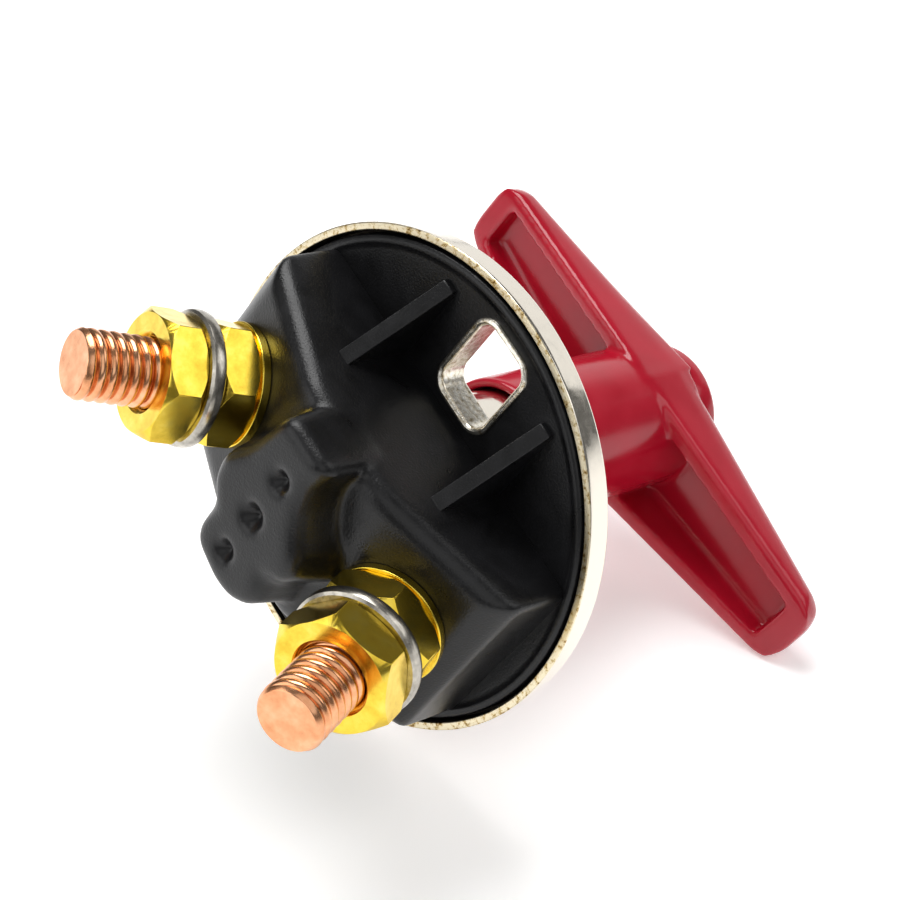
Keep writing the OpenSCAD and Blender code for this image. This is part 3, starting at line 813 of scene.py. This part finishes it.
def wings():
    """Both wings in one, flat on top, with their lower edges rising to the tips."""
    tip = wing_half_width(HANDLE_TIP)
    low = 44
    outline = [(WING_HALF, 0, low), (tip, HANDLE_TIP, low), (-tip, HANDLE_TIP, low),
               (-WING_HALF, 0, low), (-tip, -HANDLE_TIP, low), (tip, -HANDLE_TIP, low)]
    bm = prism(outline, (0, 0, HANDLE_TOP - low))
    bmesh.ops.bisect_plane(bm, geom=everything(bm), plane_co=(0, 0, 0), plane_no=(0, 1, 0))
    for vert in bm.verts:
        if vert.co.z < low + 1:
            vert.co.z = underside(vert.co.y)

    def radius_of(middle, along):
        if abs(along.z) > 0.9:
            return 4 if abs(middle.y) > 10 else 0
        if abs(middle.y) < 0.1:
            return 0
        return 3.4 if middle.z > HANDLE_TOP - 0.1 else 0.9

    return rounded_by_radius(bm, radius_of, segments=8)


def wing_hollow(side):
    """What is cored out under a wing, from the hub to its tip."""
    below = 40
    inner, outer = (wing_half_width(y) - WING_WALL for y in (HOLLOW_START, HOLLOW_END))
    points = [(inner, HOLLOW_START), (outer, HOLLOW_END), (-outer, HOLLOW_END),
              (-inner, HOLLOW_START)]
    bm = prism([(x, side * y, below) for x, y in points], (0, 0, HOLLOW_TOP - below))
    for vert in bm.verts:
        if vert.co.z > HOLLOW_TOP - 1:
            vert.co.x *= 0.93
    return rounded(bm, 0.9, 4)


def handle():
    """Hub, wings and crown in one piece, and the cap on top."""
    hub = turned([
        (0, HUB_FLOOR), (SKIRT_BORE_R, HUB_FLOOR), (SKIRT_BORE_R, SKIRT_Z + 0.3),
        (SKIRT_BORE_R + 0.3, SKIRT_Z), (HUB_R - 0.4, SKIRT_Z), (HUB_R, SKIRT_Z + 0.4),
        (HUB_R, HANDLE_TOP - 1.2), (HUB_R - 1, HANDLE_TOP - 0.4), (0, HANDLE_TOP - 0.4)],
        steps=96, closed=False)
    wing = wings()
    for side in (-1, 1):
        wing = cut(wing, wing_hollow(side))
    # Nothing of the wings is left over the middle of the hub, where the crown stands.
    core_r = 8.5
    core = bmesh.new()
    bmesh.ops.create_cone(core, cap_ends=True, segments=64, radius1=core_r, radius2=core_r,
                          depth=30)
    wing = cut(wing, moved(core, z=HANDLE_TOP - 4))
    crown = turned([
        (0, HANDLE_TOP - 1.4), (9.6, HANDLE_TOP - 1.4), (10.2, HANDLE_TOP - 0.8),
        (10.15, CROWN_TOP - 1.3), (9.95, CROWN_TOP - 0.7), (9.5, CROWN_TOP - 0.25),
        (8.8, CROWN_TOP), (CAP_R + 0.35, CROWN_TOP), (CAP_R + 0.25, CROWN_TOP - 2.2),
        (0, CROWN_TOP - 2.2)], steps=128, closed=False)
    body = melted(joined(hub, wing), grain=0.34, passes=8)
    placed(joined(body, crown), "moulded_handle", "handle_assembly", "red_plastic", [RED],
           ["handle"], sharp=60)
    cap = turned([(0, CROWN_TOP - 2.1), (CAP_R, CROWN_TOP - 2.1), (CAP_R, CROWN_TOP - 0.3),
                  (CAP_R - 0.35, CROWN_TOP), (CAP_R - 2, CROWN_TOP + 0.1), (0, CROWN_TOP + 0.12)],
                 steps=64, closed=False)
    placed(rounded(cap, 0.15, 3), "moulded_cap", "handle_assembly", "red_plastic", [RED],
           ["handle_cap"])


face_plate()
rear_housing()
terminals()
handle()


# ---- camera, floor and light ------------------------------------------------------------

def pointed(obj, place, right, up, back):
    """Puts an object in the scene at a place, turned by its three axes."""
    obj.matrix_world = Matrix.Translation(place) @ Matrix((right, up, back)).transposed().to_4x4()
    bpy.context.scene.collection.objects.link(obj)


CAMERA_PLACE = Vector((-0.09147, 0.20452, 0.19603))
RIGHT = Vector((-0.521, -0.684, 0.511)).normalized()
BACK = Vector((-0.304, 0.708, 0.637))
BACK = (BACK - RIGHT * BACK.dot(RIGHT)).normalized()
camera = bpy.data.cameras.new("camera")
camera.lens = 88
camera.sensor_width = 36
camera.clip_start = 0.01
camera_object = bpy.data.objects.new("camera", camera)
pointed(camera_object, CAMERA_PLACE, RIGHT, BACK.cross(RIGHT), BACK)
bpy.context.scene.camera = camera_object

# The switch lies on the rim of its plate and the tip of one wing.
FLOOR_UP = Vector((0.43, 0.30, 0.85)).normalized()
TOWARDS = (BACK - FLOOR_UP * BACK.dot(FLOOR_UP)).normalized()
ACROSS = TOWARDS.cross(FLOOR_UP) * -1
FLOOR_GLOW = 0.34
ROOM_GLOW = 0.14


def floor_height():
    """How far along FLOOR_UP the lowest point of the switch lies."""
    lowest = 0
    for obj in bpy.context.scene.objects:
        if obj.type == "MESH" and not obj.hide_render:
            lowest = min(lowest, min(FLOOR_UP.dot(v.co) for v in obj.data.vertices))
    return lowest


def studio_floor():
    """White card: matt, and clear when seen from behind, so it hides nothing from below."""
    material, tree, place = new_material("white_card")
    fibre = noise(tree, place, 30, 2)
    card = add(tree, "BsdfPrincipled", {
        "Roughness": 0.6, "Specular IOR Level": 0.15, "Emission Strength": FLOOR_GLOW,
        "Emission Color": linear("#FFFFFF")},
        {"Base Color": tint(tree, fibre, (0, "#F6F6F6"), (1, "#FAFAFA"))})
    clear = add(tree, "BsdfTransparent")
    side = add(tree, "NewGeometry")
    mix = add(tree, "MixShader", (), {
        0: side.outputs["Backfacing"], 1: card.outputs["BSDF"], 2: clear.outputs["BSDF"]})
    add(tree, "OutputMaterial", (), {"Surface": mix.outputs["Shader"]})
    mesh = bpy.data.meshes.new("floor")
    bm = bmesh.new()
    bmesh.ops.create_grid(bm, x_segments=1, y_segments=1, size=1.5)
    bm.to_mesh(mesh)
    bm.free()
    mesh.materials.append(material)
    floor = bpy.data.objects.new("floor", mesh)
    pointed(floor, FLOOR_UP * floor_height(), ACROSS, FLOOR_UP.cross(ACROSS), FLOOR_UP)
    floor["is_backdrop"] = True


def soft_light(name, across, up, towards, width, height, power):
    """A soft box that looks at the switch from that place, in metres and watts."""
    light = bpy.data.lights.new(name, "AREA")
    light.shape = "RECTANGLE"
    light.size = width
    light.size_y = height
    light.energy = power
    place = ACROSS * across + FLOOR_UP * up + TOWARDS * towards
    back = place.normalized()
    right = FLOOR_UP.cross(back).normalized()
    pointed(bpy.data.objects.new(name, light), place, right, back.cross(right), back)


studio_floor()
soft_light("top_box", across=-0.1, up=0.74, towards=-0.3, width=0.6, height=0.5, power=6)
soft_light("left_box", across=-0.75, up=0.4, towards=0.25, width=0.7, height=0.7, power=2.5)
soft_light("right_box", across=0.7, up=0.5, towards=0, width=0.5, height=0.5, power=1.2)
soft_light("front_box", across=0.1, up=0.62, towards=0.68, width=0.9, height=0.9, power=2.1)
soft_light("back_strip", across=0.3, up=0.17, towards=-0.85, width=1.6, height=0.36, power=1.6)

world = bpy.data.worlds.new("studio")
world.use_nodes = True
background = world.node_tree.nodes["Background"]
background.inputs["Color"].default_value = linear("#FFFFFF")
background.inputs["Strength"].default_value = ROOM_GLOW
bpy.context.scene.world = world
bpy.context.scene.view_settings.view_transform = "Standard"

[[list(corner) for corner in bounds] for bounds in (cad_bounds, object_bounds())]
